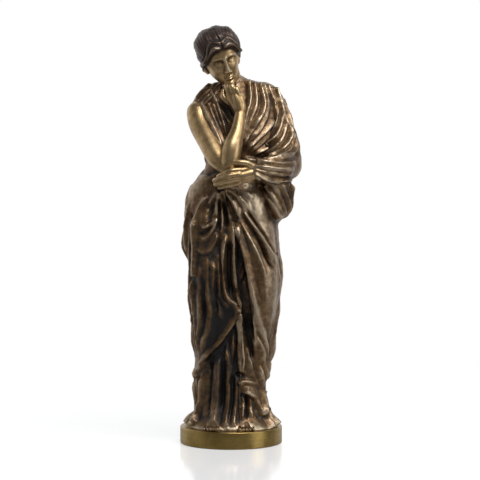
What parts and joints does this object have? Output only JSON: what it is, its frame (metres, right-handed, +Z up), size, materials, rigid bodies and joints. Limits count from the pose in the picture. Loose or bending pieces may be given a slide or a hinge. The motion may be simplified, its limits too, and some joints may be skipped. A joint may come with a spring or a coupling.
{
  "type": "bronze figurine of a standing draped woman",
  "caption": "Cast bronze figure of a pensive woman in classical dress, chin on one hand, standing on a polished round plinth.",
  "frame": {"origin": "centre of the plinth's flat underside", "axes": "+Z up the figure, -Y the way that the figure faces, +X to the viewer's right"},
  "size_m": [0.1221, 0.1124, 0.419],
  "materials": {
    "patinated_bronze": "dark brown patina, rubbed to golden bronze on the raised folds and the bare skin",
    "polished_bronze": "turned and polished to a satin golden bronze"
  },
  "bodies": {
    "root": {"figure": "patinated_bronze", "plinth": "polished_bronze"}
  },
  "joints": []
}
